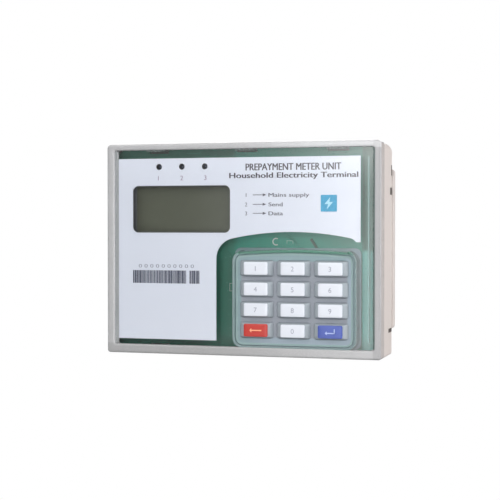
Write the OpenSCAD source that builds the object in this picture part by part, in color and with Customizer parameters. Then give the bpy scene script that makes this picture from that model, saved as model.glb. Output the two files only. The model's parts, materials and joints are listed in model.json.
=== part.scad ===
// Keypad and display unit of a prepaid electricity meter.
// Frame: X is the width, the front faces -Y, Z is up.
// The origin is the middle of the wall bracket's back face, where it meets the wall.
// Depths called "d" are measured backwards from the plane of the cover's rim.

/* [Case] */
// Width of the case
case_w = 147; // [144:1:200]
// Height of the case
case_h = 110; // [108:1:150]
// Depth of the case, from the cover's rim to the back of the base
case_d = 30; // [28:0.5:45]
// Thickness of the base's side walls
wall_t = 2.4; // [2:0.1:3]
// Thickness of the base's floor
floor_t = 2.4; // [1.6:0.1:4]
// Radius of the base's two upper corners
base_top_r = 5; // [3:0.5:10]
// Radius of the base's two lower corners
base_low_r = 1.5; // [1:0.5:6]

/* [Clear cover] */
// Depth of the cover's skirt
skirt_d = 8.5; // [7.5:0.1:9.4]
// Width of the rim on the left and right
rim_side = 4.1; // [3.5:0.1:8]
// Width of the rim at the top
rim_top = 3.2; // [3:0.1:8]
// Width of the rim at the bottom
rim_low = 4.7; // [4:0.1:8]
// Thickness of the clear pane
pane_t = 2; // [1.2:0.1:2.6]
// How far the pane lies behind the rim
pane_sunk = 0.6; // [0:0.1:1]
// Corner radius of the cover
cover_r = 2.3; // [1.5:0.1:6]
// Width of each snap clip
clip_w = 10; // [6:0.5:16]
// Thickness of each snap clip's leg
clip_t = 1.3; // [1:0.1:1.6]
// Spacing of the three snap clips along an edge
clip_pitch = 48.6; // [30:0.2:60]
// Width of the sealing ring
seal_w = 1.2; // [0.8:0.1:1.6]
// Depth of the sealing ring
seal_d = 1; // [0.6:0.1:1.6]

/* [Wall bracket] */
// Height of the bracket
bracket_h = 83.3; // [70:0.1:100]
// Depth of the bracket
bracket_d = 5.3; // [5:0.1:9]
// Thickness of the bracket's plate and rim
bracket_t = 2; // [1.6:0.1:2.4]
// How far the bracket stands proud of the case on each side
bracket_proud = 0.8; // [0:0.1:3]
// Height of the chamfer along the bracket's upper front edge
bracket_chamfer_h = 5; // [1:0.5:8]
// Depth of that chamfer
bracket_chamfer_d = 2; // [0.5:0.1:3]
// Distance between the wall screws across the bracket
wall_screw_x = 120; // [100:1:126]
// Distance between the wall screws up the bracket
wall_screw_z = 64; // [52:1:70]
// Diameter of the wall screw holes
wall_hole_d = 4.4; // [3.5:0.1:5]
// Distance between the hooks across the bracket
hook_x = 100; // [90:1:104]
// Distance between the hooks up the bracket
hook_z = 50; // [40:1:52]
// Side of each hook's square neck
hook_neck = 4; // [3:0.1:5]
// Width of each hook's head
hook_head_w = 8; // [7:0.1:9]
// Height of each hook's head
hook_head_h = 5; // [4:0.1:6]
// Thickness of each hook's head
hook_head_t = 1.6; // [1.2:0.1:2.4]
// How far the case lifts before it comes off the hooks
lift_travel = 10; // [9:0.5:12]
// Width of the wiring window
window_w = 38; // [30:1:40]
// Height of the wiring window
window_h = 26; // [22:1:28]
// Height of the wiring window's middle, below the origin
window_drop = 20; // [18:0.5:24]

/* [Front label] */
// Thickness of the printed label
label_t = 0.4; // [0.2:0.1:1]
// Gap between the rim and the label on the left
label_gap_left = 1.5; // [0.5:0.1:8]
// Gap between the rim and the label on the right
label_gap_right = 6.9; // [1:0.1:9]
// Gap between the rim and the label at the top
label_gap_top = 4.4; // [1:0.1:8]
// Gap between the rim and the label at the bottom
label_gap_low = 2.8; // [1:0.1:8]
// Radius of the arch over the keypad
arch_r = 150; // [100:1:300]
// Radius of the arch's left shoulder
arch_shoulder_r = 10.7; // [4:0.1:14]
// Gap between the arch and the keypad on the left
arch_gap_left = 10.8; // [5:0.1:14]
// Gap between the arch and the keypad at the top
arch_gap_top = 10.7; // [5:0.1:12]
// Radius of the arch's right shoulder, where it falls to the label's edge
arch_fall_r = 5; // [3:0.1:8]
// Distance from the label's right edge at which that fall starts
arch_fall = 5.4; // [4.5:0.1:8]

/* [Display] */
// Width of the display window in the label
view_w = 53.7; // [40:0.1:56]
// Height of the display window in the label
view_h = 24.6; // [18:0.1:26]
// Corner radius of the display window
view_r = 3; // [0.5:0.1:5]
// Distance from the label's left edge to the display window
view_left = 8.1; // [7:0.1:12]
// Distance from the label's top edge to the display window
view_top = 14.3; // [13:0.1:20]
// Border of the display's bezel outside the window
bezel_border = 5; // [4:0.1:6]
// How far the bezel's opening stands inside the window
bezel_inset = 0.5; // [0:0.1:2]
// Height of the bezel's front face above the glass
bezel_lip = 1.2; // [0.6:0.1:2]
// Thickness of the display glass
glass_t = 1.2; // [0.8:0.1:2]
// Thickness of the display's backlight
backlight_t = 1.2; // [0.8:0.1:2]
// Diameter of the status lights
led_d = 3; // [2:0.1:5]
// Distance between the status lights
led_pitch = 12.6; // [8:0.1:16]
// Distance from the label's left edge to the first status light
led_left = 22.8; // [16:0.1:30]
// Distance from the label's top edge to the status lights
led_top = 4.4; // [3.5:0.1:6]

/* [Keypad] */
// Distance between key columns
key_pitch_x = 19.5; // [17:0.1:24]
// Distance between key rows
key_pitch_z = 10.57; // [9:0.01:11]
// Width of the channels between key columns
channel_x = 2; // [1.6:0.1:4]
// Width of the channels between key rows
channel_z = 2.6; // [2.2:0.1:4]
// Corner radius of the keys
key_r = 1.2; // [0.5:0.1:2]
// How far the keys stand out in front of the rim
key_proud = 0.6; // [0.2:0.1:2]
// Width of the hard cap on each key
cap_w = 12.6; // [8:0.1:14]
// Height of the hard cap on each key
cap_h = 6.6; // [4:0.1:7]
// Thickness of the hard cap on each key
cap_t = 1; // [0.6:0.1:2]
// Travel of each key
key_travel = 1.2; // [0.6:0.1:2]
// Diameter of the carbon contact under each key
contact_d = 5; // [3:0.1:6]
// Thickness of the carbon contact
contact_t = 0.4; // [0.2:0.1:0.6]
// Height of the lip that keeps a key in the mat
key_lip_t = 1; // [0.6:0.1:1.6]
// How far that lip stands out above and below the key
key_lip = 0.6; // [0.4:0.1:0.8]
// How far the mat's face lies behind the rim
mat_sunk = 1.4; // [1:0.1:3]
// Border of the mat left and right of the keys
mat_border_x = 1.75; // [1:0.05:4]
// Border of the mat above and below the keys
mat_border_z = 2.66; // [1:0.02:5]
// Corner radius of the mat
mat_r = 4; // [2:0.1:6]
// Rise of the mat's arched top edge
mat_rise = 1.3; // [0.5:0.1:3]
// Gap between the rim and the mat on the right
mat_gap_right = 10.2; // [5:0.1:14]
// Gap between the rim and the mat at the bottom
mat_gap_low = 1; // [0.9:0.1:6]
// Thickness of the mat's flange on the circuit board
mat_flange_t = 1.2; // [0.8:0.1:2]
// Width of the mat's flange
mat_flange = 2.4; // [1.6:0.1:4]
// Thickness of the cover's collar round the mat
collar_t = 1.4; // [1:0.1:2]

/* [Circuit board] */
// Thickness of the circuit board
board_t = 1.6; // [0.8:0.1:2.4]
// Depth of the circuit board's front face
board_depth = 10; // [9.5:0.1:12]
// Diameter of the board screws' shanks
screw_d = 3; // [2:0.1:3.5]
// Diameter of the board screws' heads
screw_head_d = 5.6; // [4:0.1:6.5]
// Height of the board screws' heads
screw_head_h = 1.8; // [1:0.1:2.4]
// Length of the board screws under the head
screw_l = 10; // [6:0.5:12]
// Diameter of the screw posts
post_d = 7.4; // [6:0.1:8]
// Number of ways in the terminal block
terminal_ways = 4; // [2:1:5]
// Distance between the terminals
terminal_pitch = 5.08; // [5:0.01:6]

/* [Hidden] */
KEYS = ["1", "2", "3", "4", "5", "6", "7", "8", "9", "clear", "0", "enter"];
$fn = 64;

// Clearances
joint_gap = 0.3;
slide_gap = 0.3;
seat_gap = 0.1;
free_gap = 0.5;
contact_gap = 0.05;
tiny = 0.01;
min_r = 0.5;
window_r = 2;

// Derived places: the case
total_d = case_d + joint_gap + bracket_d;
half_w = case_w / 2;
half_h = case_h / 2;
in_w = half_w - wall_t;
in_h = half_h - wall_t;
floor_in = case_d - floor_t;
pane_back = pane_sunk + pane_t;
rim_right = half_w - rim_side;
rim_high = half_h - rim_top;
rim_bottom = -half_h + rim_low;

// Derived places: the keypad
mat_w = 3 * key_pitch_x + 2 * mat_border_x;
mat_h = 4 * key_pitch_z + 2 * mat_border_z;
mat_x1 = rim_right - mat_gap_right;
mat_x0 = mat_x1 - mat_w;
mat_z0 = rim_bottom + mat_gap_low;
mat_z1 = mat_z0 + mat_h;
mat_x = (mat_x0 + mat_x1) / 2;
keys_z = mat_z0 + mat_h / 2;
key_w = key_pitch_x - channel_x;
key_h = key_pitch_z - channel_z;
key_back = board_depth - key_travel - contact_gap - contact_t;
lip_back = key_back - 0.7;
ledge_d = lip_back - key_lip_t - slide_gap;

// Derived places: the label, the display and the status lights
label_x0 = -rim_right + label_gap_left;
label_x1 = rim_right - label_gap_right;
label_z0 = rim_bottom + label_gap_low;
label_z1 = rim_high - label_gap_top;
label_back = pane_back + label_t;
arch_x0 = mat_x0 - arch_gap_left;
arch_top = mat_z1 + arch_gap_top;
arch_x = mat_x - 1.3;
arch_fall_to = 35; // angle at which the right shoulder ends
view_x = label_x0 + view_left + view_w / 2;
view_z = label_z1 - view_top - view_h / 2;
bezel_w = view_w + 2 * bezel_border;
bezel_h = view_h + 2 * bezel_border;
bezel_t = 3;
glass_w = bezel_w - 2 * bezel_t;
glass_h = bezel_h - 2 * bezel_t + 0.4;
strip_h = 1.6;
light_w = glass_w - 2;
light_h = glass_h - 3 * strip_h;
light_d = board_depth - backlight_t;
glass_d = light_d - glass_t;
bezel_d = glass_d - bezel_lip;
led_x = label_x0 + led_left;
led_z = label_z1 - led_top;

// Derived places: the circuit board
board_back = board_depth + board_t;
board_x = in_w - free_gap;
board_z0 = -in_h + 1;
board_z1 = in_h - 0.4;
board_r = 3;
clip_room = 0.5;
clip_end = 14.2;
barb_l = 2;
barb_h = 1.6;
clip_z = in_h - slide_gap;
clip_xs = [for (i = [-1:1]) 1 + i * clip_pitch];
flange_low = min(mat_flange, mat_z0 + clip_z - clip_t - slide_gap);
screw_edge = 7.2;
screw_side = 8.6;
screws_at = [
    [-board_x + screw_side, board_z1 - screw_edge],
    [label_x1 - screw_side + 2, board_z1 - screw_edge],
    [-board_x + screw_side, board_z0 + screw_edge],
    [arch_x0 - 6, board_z0 + screw_edge]
];
rest_post_at = [mat_x1 + post_d / 2 + 1, board_z0 + screw_edge];
terminal_w = terminal_ways * terminal_pitch;
terminal_h = 10;
terminal_z1 = -window_drop + window_h / 2 - 3;
terminal_z = terminal_z1 - terminal_h / 2;
terminal_back = floor_in - 2;
screw_well_d = 5;
cell_x = -24;
cell_z = 18;
cell_r = 10;
cell_t = 3.2;
hooks_at = [for (x = [-1, 1], z = [-1, 1]) [x * hook_x / 2, z * hook_z / 2]];

// Flat shape drawn in the X-Z plane and given depth from d0 to d1
module slab(d0, d1) {
    translate([0, d1 - total_d, 0])
        rotate([90, 0, 0])
            linear_extrude(d1 - d0)
                children();
}

// Round bar along the depth, from d0 to d1
module rod(x, z, d0, d1, r) {
    translate([x, d1 - total_d, z])
        rotate([90, 0, 0])
            cylinder(h = d1 - d0, r = r);
}

// Rectangle between two corners
module rect(x0, z0, x1, z1) {
    translate([x0, z0])
        square([x1 - x0, z1 - z0]);
}

// Rectangle with one radius at its lower corners and another at its upper ones
module round_rect(x0, z0, x1, z1, low_r, top_r) {
    mid = (z0 + z1) / 2;
    rect(x0, z0 + low_r, x1, z1 - top_r);
    rect(x0 + low_r, z0, x1 - low_r, mid);
    rect(x0 + top_r, mid, x1 - top_r, z1);
    for (x = [x0 + low_r, x1 - low_r])
        translate([x, z0 + low_r])
            circle(low_r);
    for (x = [x0 + top_r, x1 - top_r])
        translate([x, z1 - top_r])
            circle(top_r);
}

// Rectangle about a centre with one radius at every corner
module tile(x, z, w, h, r) {
    round_rect(x - w / 2, z - h / 2, x + w / 2, z + h / 2, r, r);
}

// Points on an arc, from angle a0 to angle a1
function arc(x, z, r, a0, a1, steps) =
    [for (i = [0:steps]) [x + r * cos(a0 + (a1 - a0) * i / steps), z + r * sin(a0 + (a1 - a0) * i / steps)]];

// Outline of the keypad mat, grown by a margin, with a slightly arched top edge
module mat_outline(side = 0, low = 0) {
    w = mat_w / 2 + side;
    r = mat_r + side;
    top_r = (w * w) / (2 * mat_rise);
    top_z = mat_z1 + side;
    z0 = mat_z0 - low;
    slope = asin((w - r) / (top_r - r));
    shoulder_z = top_z - top_r + (top_r - r) * cos(slope);
    polygon(concat(
        arc(mat_x - w + r, z0 + r, r, 180, 270, 10),
        arc(mat_x + w - r, z0 + r, r, 270, 360, 10),
        arc(mat_x + w - r, shoulder_z, r, 0, 90 - slope, 10),
        arc(mat_x, top_z - top_r, top_r, 90 - slope, 90 + slope, 24),
        arc(mat_x - w + r, shoulder_z, r, 90 + slope, 180, 10)
    ));
}

// The arch that the label leaves open round the keypad
module arch_outline() {
    r = arch_shoulder_r;
    centre_z = arch_top - arch_r;
    reach = arch_r - r;
    shoulder_x = arch_x0 + r;
    lean = asin((arch_x - shoulder_x) / reach);
    shoulder_z = centre_z + reach * cos(lean);
    turn = acos((label_x1 - arch_fall - arch_x) / arch_r);
    fall_x = arch_x + (arch_r - arch_fall_r) * cos(turn);
    fall_z = centre_z + (arch_r - arch_fall_r) * sin(turn);
    polygon(concat(
        [
            [label_x1 + 1, label_z0 - 1],
            [label_x1 + 1, fall_z + arch_fall_r * sin(arch_fall_to)]
        ],
        arc(fall_x, fall_z, arch_fall_r, arch_fall_to, turn, 10),
        arc(arch_x, centre_z, arch_r, turn, 90 + lean, 40),
        arc(shoulder_x, shoulder_z, r, 90 + lean, 180, 12),
        [[arch_x0, label_z0 - 1]]
    ));
}

// Wedge along X whose outline is given as [depth, height] points
module prism(x, w, points) {
    translate([x - w / 2, -total_d, 0])
        rotate([90, 0, 90])
            linear_extrude(w)
                polygon(points);
}

function key_x(i) = mat_x + (i % 3 - 1) * key_pitch_x;
function key_z(i) = keys_z + (1.5 - floor(i / 3)) * key_pitch_z;

module wall_bracket() {
    w = half_w + bracket_proud;
    h = bracket_h / 2;
    front = total_d - bracket_d;
    plate = total_d - bracket_t;
    recess_d = 0.8;
    recess_w = 34;
    recess_h = 30;
    recess_x = window_w / 2 + 7 + recess_w / 2;
    color([0.80, 0.77, 0.75]) {
        difference() {
            slab(front, total_d)
                round_rect(-w, -h, w, h, bracket_t, bracket_t);
            slab(front - 1, plate)
                tile(0, 0, 2 * (w - bracket_t), 2 * (h - bracket_t), min_r);
            slab(plate - 1, total_d + 1)
                tile(0, -window_drop, window_w, window_h, window_r);
            for (x = [-1, 1], z = [-1, 1])
                rod(x * wall_screw_x / 2, z * wall_screw_z / 2, plate - 1, total_d + 1, wall_hole_d / 2);
            for (x = [-1, 1])
                slab(total_d - recess_d, total_d + 1)
                    tile(x * recess_x, 0, recess_w, recess_h, window_r);
            prism(0, 2 * w + 2, [
                [front - 1, h - bracket_chamfer_h * (1 + 1 / bracket_chamfer_d)],
                [front + bracket_chamfer_d + 1, h + bracket_chamfer_h / bracket_chamfer_d],
                [front - 1, h + bracket_chamfer_h]
            ]);
        }
        for (p = hooks_at)
            bracket_hook(p[0], p[1], plate);
    }
}

// A square neck with a wide head that catches inside the case's floor
module bracket_hook(x, z, plate) {
    neck = hook_neck / 2;
    head_back = floor_in - slide_gap;
    slab(head_back - hook_head_t / 2, plate + bracket_t / 2)
        rect(x - neck, z - neck, x + neck, z + neck);
    slab(head_back - hook_head_t, head_back)
        rect(x - hook_head_w / 2, z - hook_head_h / 2, x + hook_head_w / 2, z + hook_head_h / 2);
}

// The slot that a hook enters low down, and rises in as the case drops onto it
module hook_slot(x, z) {
    neck = hook_neck / 2;
    rect(x - neck - slide_gap, z - neck - lift_travel - slide_gap, x + neck + slide_gap, z + neck + seat_gap);
    rect(
        x - hook_head_w / 2 - free_gap,
        z - hook_head_h / 2 - lift_travel - free_gap,
        x + hook_head_w / 2 + free_gap,
        z + hook_head_h / 2 - lift_travel + free_gap
    );
}

module rear_base() {
    in_top_r = max(base_top_r - wall_t, min_r);
    in_low_r = max(base_low_r - wall_t, min_r);
    notch = wall_t / 3;
    shaft_t = 1.6;
    color([0.84, 0.81, 0.79]) {
        difference() {
            slab(skirt_d, case_d)
                round_rect(-half_w, -half_h, half_w, half_h, base_low_r, base_top_r);
            slab(skirt_d - 1, floor_in)
                round_rect(-in_w, -in_h, in_w, in_h, in_low_r, in_top_r);
            slab(floor_in - 1, case_d + 1) {
                tile(0, -window_drop, window_w, window_h, window_r);
                for (p = hooks_at)
                    hook_slot(p[0], p[1]);
            }
            for (x = clip_xs)
                slab(clip_end - barb_l - slide_gap, clip_end + slide_gap)
                    rect(x - clip_w / 2 - clip_room, -half_h - 1, x + clip_w / 2 + clip_room, half_h + 1);
            for (s = [-1, 1])
                side_marks(s * (half_w - notch), s * (half_w + 1));
        }
        for (p = screws_at)
            screw_post(p[0], p[1]);
        rod(rest_post_at[0], rest_post_at[1], board_back, floor_in + tiny, post_d / 2 - 1);
        difference() {
            slab(board_back + 1, floor_in + tiny)
                tile(0, -window_drop, window_w + 2 * shaft_t, window_h + 2 * shaft_t, window_r + shaft_t);
            slab(board_back, floor_in + 1)
                tile(0, -window_drop, window_w, window_h, window_r);
        }
    }
}

// Notches and a slot that the mould leaves in a side wall, near the bracket
module side_marks(x0, x1) {
    lo = min(x0, x1);
    hi = max(x0, x1);
    high = half_h - 11;
    low = -half_h + 12;
    slab(case_d - 2, case_d + 1) {
        rect(lo, high - 6, hi, high);
        rect(lo, high - 16, hi, high - 12);
    }
    slab(case_d - 9, case_d + 1)
        rect(lo, low, hi, low + 2);
}

module screw_post(x, z) {
    bore_r = screw_d / 2 + slide_gap / 3;
    difference() {
        rod(x, z, board_back, floor_in + tiny, post_d / 2);
        rod(x, z, board_back - 1, board_back + screw_l, bore_r);
    }
}

module front_cover() {
    color([0.88, 0.90, 0.93, 0.5]) {
        difference() {
            slab(0, skirt_d)
                tile(0, 0, case_w, case_h, cover_r);
            slab(-1, pane_sunk)
                cover_window();
            slab(pane_back, skirt_d + 1)
                cover_window();
            slab(-1, pane_back + 1)
                mat_outline(slide_gap, slide_gap);
            slab(skirt_d - seal_d, skirt_d + 1)
                seal_ring();
        }
        difference() {
            slab(pane_back - tiny, board_depth - mat_flange_t)
                mat_outline(slide_gap + collar_t, min(slide_gap + collar_t, mat_gap_low + seat_gap));
            slab(pane_back - 1, board_depth)
                mat_outline(slide_gap, slide_gap);
        }
        for (x = clip_xs, s = [-1, 1])
            snap_clip(x, s);
    }
}

// The part of the cover inside its rim
module cover_window() {
    round_rect(-rim_right, rim_bottom, rim_right, rim_high, 1, 1);
}

// The closed ring on which the cover seals
module seal_ring() {
    inset = (wall_t - seal_w) * 2 / 3;
    inner = inset + seal_w;
    r = max(cover_r - inset, seal_w + min_r);
    difference() {
        tile(0, 0, case_w - 2 * inset, case_h - 2 * inset, r);
        tile(0, 0, case_w - 2 * inner, case_h - 2 * inner, r - seal_w);
    }
}

// A springy leg with a barb that catches in the base's wall
module snap_clip(x, side) {
    z1 = clip_z;
    z0 = z1 - clip_t;
    slab(pane_back + 1, clip_end)
        rect(x - clip_w / 2, min(side * z0, side * z1), x + clip_w / 2, max(side * z0, side * z1));
    prism(x, clip_w, [
        [clip_end, side * (z1 - tiny)],
        [clip_end - barb_l, side * (z1 - tiny)],
        [clip_end - barb_l, side * (z1 + barb_h)],
        [clip_end - barb_l * 0.6, side * (z1 + barb_h)]
    ]);
}

module cover_gasket() {
    color([0.35, 0.36, 0.37])
        slab(skirt_d - seal_d, skirt_d)
            seal_ring();
}

module label_panel() {
    color([0.90, 0.91, 0.95])
        slab(pane_back, label_back)
            difference() {
                rect(label_x0, label_z0, label_x1, label_z1);
                tile(view_x, view_z, view_w, view_h, view_r);
                for (i = [0:2])
                    translate([led_x + i * led_pitch, led_z])
                        circle(led_d / 2 + 0.1);
                arch_outline();
            }
}

module main_pcb() {
    color([0.22, 0.45, 0.35])
        difference() {
            slab(board_depth, board_back)
                round_rect(-board_x, board_z0, board_x, board_z1, 1, board_r);
            for (x = clip_xs, s = [-1, 1])
                slab(board_depth - 1, board_back + 1)
                    rect(
                        x - clip_w / 2 - clip_room,
                        min(s * (clip_z - clip_t - clip_room), s * half_h),
                        x + clip_w / 2 + clip_room,
                        max(s * (clip_z - clip_t - clip_room), s * half_h)
                    );
            for (p = screws_at)
                rod(p[0], p[1], board_depth - 1, board_back + 1, screw_d / 2 + slide_gap);
        }
}

module pcb_screws() {
    head_d = board_depth - screw_head_h;
    cross_l = screw_head_d * 0.64;
    cross_w = 0.7;
    color([0.70, 0.71, 0.73])
        for (p = screws_at)
            difference() {
                union() {
                    rod(p[0], p[1], head_d, board_depth, screw_head_d / 2);
                    rod(p[0], p[1], board_depth - tiny, board_depth + screw_l, screw_d / 2);
                }
                slab(head_d - 1, head_d + screw_head_h / 2) {
                    tile(p[0], p[1], cross_l, cross_w, 0.2);
                    tile(p[0], p[1], cross_w, cross_l, 0.2);
                }
            }
}

module lcd_bezel() {
    open_w = view_w - 2 * bezel_inset;
    open_h = view_h - 2 * bezel_inset;
    color([0.10, 0.10, 0.11])
        difference() {
            slab(bezel_d, board_depth)
                tile(view_x, view_z, bezel_w, bezel_h, 1);
            slab(bezel_d - 1, glass_d + 1)
                tile(view_x, view_z, open_w, open_h, view_r - bezel_inset);
            slab(glass_d, board_depth + 1)
                tile(view_x, view_z, glass_w + 2 * seat_gap, glass_h + 2 * seat_gap, 0.5);
        }
}

module lcd_glass() {
    color([0.37, 0.38, 0.33])
        slab(glass_d, light_d)
            tile(view_x, view_z, glass_w, glass_h, 0.4);
}

module lcd_backlight() {
    color([0.92, 0.92, 0.88])
        slab(light_d, board_depth)
            tile(view_x, view_z, light_w, light_h, 0.4);
}

module lcd_connector() {
    z = light_h / 2 + seat_gap + strip_h / 2;
    color([0.93, 0.55, 0.35])
        for (s = [-1, 1])
            slab(light_d, board_depth)
                tile(view_x, view_z + s * z, light_w, strip_h, 0.3);
}

module status_leds() {
    r = led_d / 2;
    foot_t = 1;
    dome_d = label_back + 1.2 + r;
    color([0.25, 0.27, 0.33])
        for (i = [0:2]) {
            rod(led_x + i * led_pitch, led_z, dome_d, board_depth, r);
            translate([led_x + i * led_pitch, dome_d - total_d, led_z])
                sphere(r);
            rod(led_x + i * led_pitch, led_z, board_depth - foot_t, board_depth, r + 0.4);
        }
}

module keypad_mat() {
    color([0.57, 0.62, 0.66])
        difference() {
            union() {
                slab(mat_sunk, board_depth - mat_flange_t + tiny)
                    mat_outline();
                slab(board_depth - mat_flange_t, board_depth)
                    mat_outline(mat_flange, flange_low);
            }
            for (i = [0:11]) {
                slab(mat_sunk - 1, board_depth)
                    tile(key_x(i), key_z(i), key_w + 2 * slide_gap, key_h + 2 * slide_gap, key_r + slide_gap);
                slab(ledge_d, board_depth + 1)
                    tile(
                        key_x(i), key_z(i), key_w + 2 * slide_gap,
                        key_h + 2 * (key_lip + slide_gap), key_r
                    );
            }
        }
}

module key_block(i) {
    color(i == 9 ? [0.72, 0.62, 0.63] : i == 11 ? [0.58, 0.63, 0.72] : [0.62, 0.66, 0.70]) {
        slab(-key_proud, key_back)
            tile(key_x(i), key_z(i), key_w, key_h, key_r);
        slab(lip_back - key_lip_t, lip_back)
            tile(key_x(i), key_z(i), key_w, key_h + 2 * key_lip, key_r);
    }
}

module key_cap(i) {
    color(i == 9 ? [0.80, 0.22, 0.18] : i == 11 ? [0.32, 0.40, 0.72] : [0.92, 0.93, 0.97])
        slab(-key_proud - cap_t, -key_proud)
            tile(key_x(i), key_z(i), cap_w, cap_h, 0.8);
}

module key_contact(i) {
    color([0.12, 0.12, 0.13])
        rod(key_x(i), key_z(i), key_back, key_back + contact_t, contact_d / 2);
}

module microcontroller() {
    side = 14;
    foot = 0.4;
    foot_l = 2.1;
    row = side / 2 + foot_l / 2 - 0.05;
    z = 12;
    color([0.13, 0.13, 0.14])
        slab(board_back + foot / 2, board_back + 1.6)
            tile(mat_x, z, side, side, 0.4);
    color([0.75, 0.75, 0.77])
        slab(board_back, board_back + foot)
            for (s = [-1, 1], i = [-5:5]) {
                translate([mat_x + i, z + s * row])
                    square([foot, foot_l], center = true);
                translate([mat_x + s * row, z + i])
                    square([foot_l, foot], center = true);
            }
}

module crystal() {
    color([0.78, 0.78, 0.80])
        slab(board_back, board_back + 3.5)
            tile(mat_x, 28, 11, 4.6, 2.2);
}

module chip_parts() {
    pitch = 4;
    color([0.55, 0.45, 0.36])
        for (i = [0:4], j = [0:1])
            slab(board_back, board_back + 0.7)
                tile(mat_x - 22 + j * pitch, pitch + i * pitch, 2, 1.25, 0.1);
}

module capacitors() {
    can_r = 4;
    can_h = 11;
    pitch = 10;
    x = board_x - 11;
    color([0.16, 0.18, 0.25])
        for (i = [-1:1])
            difference() {
                rod(x, 2 - i * pitch, board_back, board_back + can_h, can_r);
                rod(x, 2 - i * pitch, board_back + can_h - 0.4, board_back + can_h + 1, can_r * 0.8);
            }
}

module buzzer() {
    can_h = 8.5;
    color([0.11, 0.11, 0.12])
        difference() {
            rod(-hook_x / 2, 0, board_back, board_back + can_h, 6);
            rod(-hook_x / 2, 0, board_back + 2, board_back + can_h + 1, 1);
        }
}

module line_coupler() {
    x = mat_x + 9;
    flange = 3;
    coil_h = 6;
    color([0.14, 0.15, 0.16])
        slab(board_back, board_back + flange)
            tile(x, -window_drop, 17, 15, 0.5);
    color([0.87, 0.78, 0.40])
        slab(board_back + flange, board_back + flange + coil_h)
            tile(x, -window_drop, 13, 12, 1);
    color([0.30, 0.30, 0.31])
        slab(board_back + flange + coil_h, board_back + 2 * flange + coil_h - 1)
            tile(x, -window_drop, 17, 15, 0.5);
}

module battery_clip() {
    seat_t = 1;
    clip_h = cell_t + seat_t + 0.4;
    strap_t = 0.4;
    color([0.14, 0.14, 0.15])
        difference() {
            slab(board_back, board_back + clip_h)
                tile(cell_x, cell_z, 2 * cell_r + 5, 16, 1);
            rod(cell_x, cell_z, board_back + seat_t, board_back + clip_h + 1, cell_r + seat_gap);
        }
    color([0.80, 0.78, 0.70])
        slab(board_back + clip_h, board_back + clip_h + strap_t)
            tile(cell_x, cell_z, 2 * cell_r + 4, 5, 1);
}

module backup_battery() {
    seat_t = 1;
    color([0.78, 0.78, 0.79])
        rod(cell_x, cell_z, board_back + seat_t, board_back + seat_t + cell_t, cell_r);
}

module terminal_block() {
    well = screw_well_d;
    entry = 3.8;
    color([0.30, 0.52, 0.36])
        difference() {
            slab(board_back, terminal_back)
                rect(-terminal_w / 2, terminal_z1 - terminal_h, terminal_w / 2, terminal_z1);
            for (i = [0:terminal_ways - 1]) {
                rod(terminal_x(i), terminal_z, terminal_back - well, terminal_back + 1, entry / 2);
                slab(terminal_back - 2 * well, terminal_back - well - 0.6)
                    rect(
                        terminal_x(i) - entry / 2, terminal_z1 - terminal_h - 1,
                        terminal_x(i) + entry / 2, terminal_z + 1
                    );
            }
        }
}

function terminal_x(i) = (i - (terminal_ways - 1) / 2) * terminal_pitch;

module terminal_screws() {
    r = 1.8;
    head_back = terminal_back - screw_well_d / 2 + seat_gap;
    slot_w = 0.6;
    color([0.76, 0.76, 0.78])
        for (i = [0:terminal_ways - 1])
            difference() {
                rod(terminal_x(i), terminal_z, terminal_back - screw_well_d, head_back, r);
                slab(head_back - 0.8, head_back + 1)
                    translate([terminal_x(i), terminal_z])
                        square([3 * r, slot_w], center = true);
            }
}

wall_bracket();
rear_base();
front_cover();
cover_gasket();
label_panel();
main_pcb();
pcb_screws();
lcd_bezel();
lcd_glass();
lcd_backlight();
lcd_connector();
status_leds();
keypad_mat();
microcontroller();
crystal();
chip_parts();
capacitors();
buzzer();
line_coupler();
battery_clip();
backup_battery();
terminal_block();
terminal_screws();
for (i = [0:11]) {
    key_block(i);
    key_cap(i);
    key_contact(i);
}
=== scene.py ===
# %% [markdown]
# # A keypad and display unit for a prepaid electricity meter
# The unit hangs on a wall. A beige case sits on a thin bracket, and a clear cover with a frosted rim
# closes its front. Behind the cover lie a printed label, a display, three status lights and a green
# circuit board, and a silicone keypad stands through an opening in the cover. The sizes and places come
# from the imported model, so the looks are built around it. Lengths in this lesson are in millimetres: x to
# the right, z up, and depth counted backwards from the front of the rim.

# %% Load the frame
import json
import math
import random

import bmesh
import bpy
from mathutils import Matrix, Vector

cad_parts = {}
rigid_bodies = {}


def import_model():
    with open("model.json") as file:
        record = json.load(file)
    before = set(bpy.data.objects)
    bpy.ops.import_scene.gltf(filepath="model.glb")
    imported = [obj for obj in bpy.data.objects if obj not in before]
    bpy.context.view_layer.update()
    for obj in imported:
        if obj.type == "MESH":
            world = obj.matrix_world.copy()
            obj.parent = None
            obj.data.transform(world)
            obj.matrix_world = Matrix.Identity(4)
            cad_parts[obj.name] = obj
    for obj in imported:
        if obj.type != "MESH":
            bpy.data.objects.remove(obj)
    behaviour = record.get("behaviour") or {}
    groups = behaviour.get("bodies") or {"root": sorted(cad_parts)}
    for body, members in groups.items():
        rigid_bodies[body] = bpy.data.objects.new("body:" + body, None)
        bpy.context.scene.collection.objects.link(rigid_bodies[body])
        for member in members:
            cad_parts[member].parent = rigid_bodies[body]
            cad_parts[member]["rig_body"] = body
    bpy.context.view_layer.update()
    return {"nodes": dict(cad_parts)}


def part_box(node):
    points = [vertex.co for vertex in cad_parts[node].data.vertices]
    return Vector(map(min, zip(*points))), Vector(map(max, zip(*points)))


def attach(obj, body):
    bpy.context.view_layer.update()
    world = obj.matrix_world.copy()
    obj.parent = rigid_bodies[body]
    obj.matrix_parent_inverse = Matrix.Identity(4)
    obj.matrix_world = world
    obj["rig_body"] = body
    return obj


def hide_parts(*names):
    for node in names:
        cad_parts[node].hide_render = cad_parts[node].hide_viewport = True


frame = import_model()
MM = 0.001
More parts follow.
